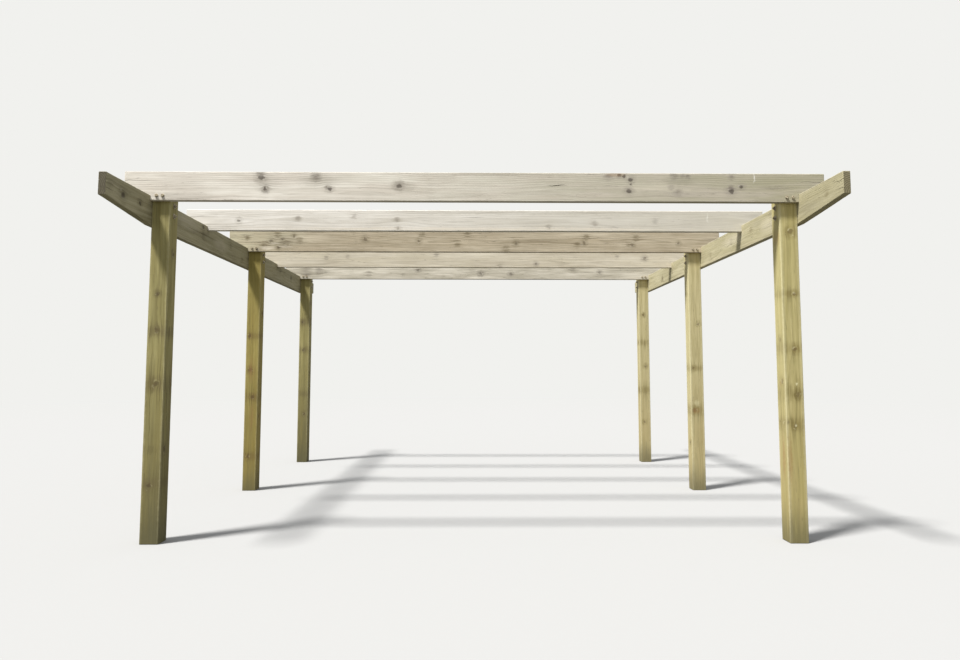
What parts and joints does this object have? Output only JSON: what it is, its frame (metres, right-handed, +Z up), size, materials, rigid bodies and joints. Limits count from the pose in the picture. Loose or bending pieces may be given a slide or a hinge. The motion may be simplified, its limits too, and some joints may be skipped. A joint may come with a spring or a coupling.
{
  "type": "wooden pergola",
  "caption": "Open garden pergola: square posts carry bolted side beams with tapered tails, and notched crossbeams lie across the top with open gaps between them.",
  "frame": {"origin": "on the lowest ground at a post, midway between the posts", "axes": "+X from the left posts to the right posts, +Y from the front of the picture to the back, +Z up"},
  "size_m": [4.8, 5.4, 2.5],
  "materials": {
    "post_timber": "rough-sawn treated softwood, weathered to a greenish khaki",
    "side_beam_timber": "sawn treated softwood, weathered to a dull straw grey",
    "crossbeam_timber": "sawn softwood, weathered to a pale silver grey with dark knots",
    "galvanised_steel": "galvanised steel gone dull grey"
  },
  "bodies": {
    "root": {"front_bay_crossbeam": "crossbeam_timber", "front_crossbeam": "crossbeam_timber", "front_left_beam_bolts": "galvanised_steel", "front_left_crossbeam_screws": "galvanised_steel", "front_left_post": "post_timber", "front_right_beam_bolts": "galvanised_steel", "front_right_crossbeam_screws": "galvanised_steel", "front_right_post": "post_timber", "left_side_beam": "side_beam_timber", "middle_crossbeam": "crossbeam_timber", "middle_left_beam_bolts": "galvanised_steel", "middle_left_crossbeam_screws": "galvanised_steel", "middle_left_post": "post_timber", "middle_right_beam_bolts": "galvanised_steel", "middle_right_crossbeam_screws": "galvanised_steel", "middle_right_post": "post_timber", "rear_bay_crossbeam": "crossbeam_timber", "rear_crossbeam": "crossbeam_timber", "rear_left_beam_bolts": "galvanised_steel", "rear_left_crossbeam_screws": "galvanised_steel", "rear_left_post": "post_timber", "rear_right_beam_bolts": "galvanised_steel", "rear_right_crossbeam_screws": "galvanised_steel", "rear_right_post": "post_timber", "right_side_beam": "side_beam_timber"}
  },
  "joints": []
}
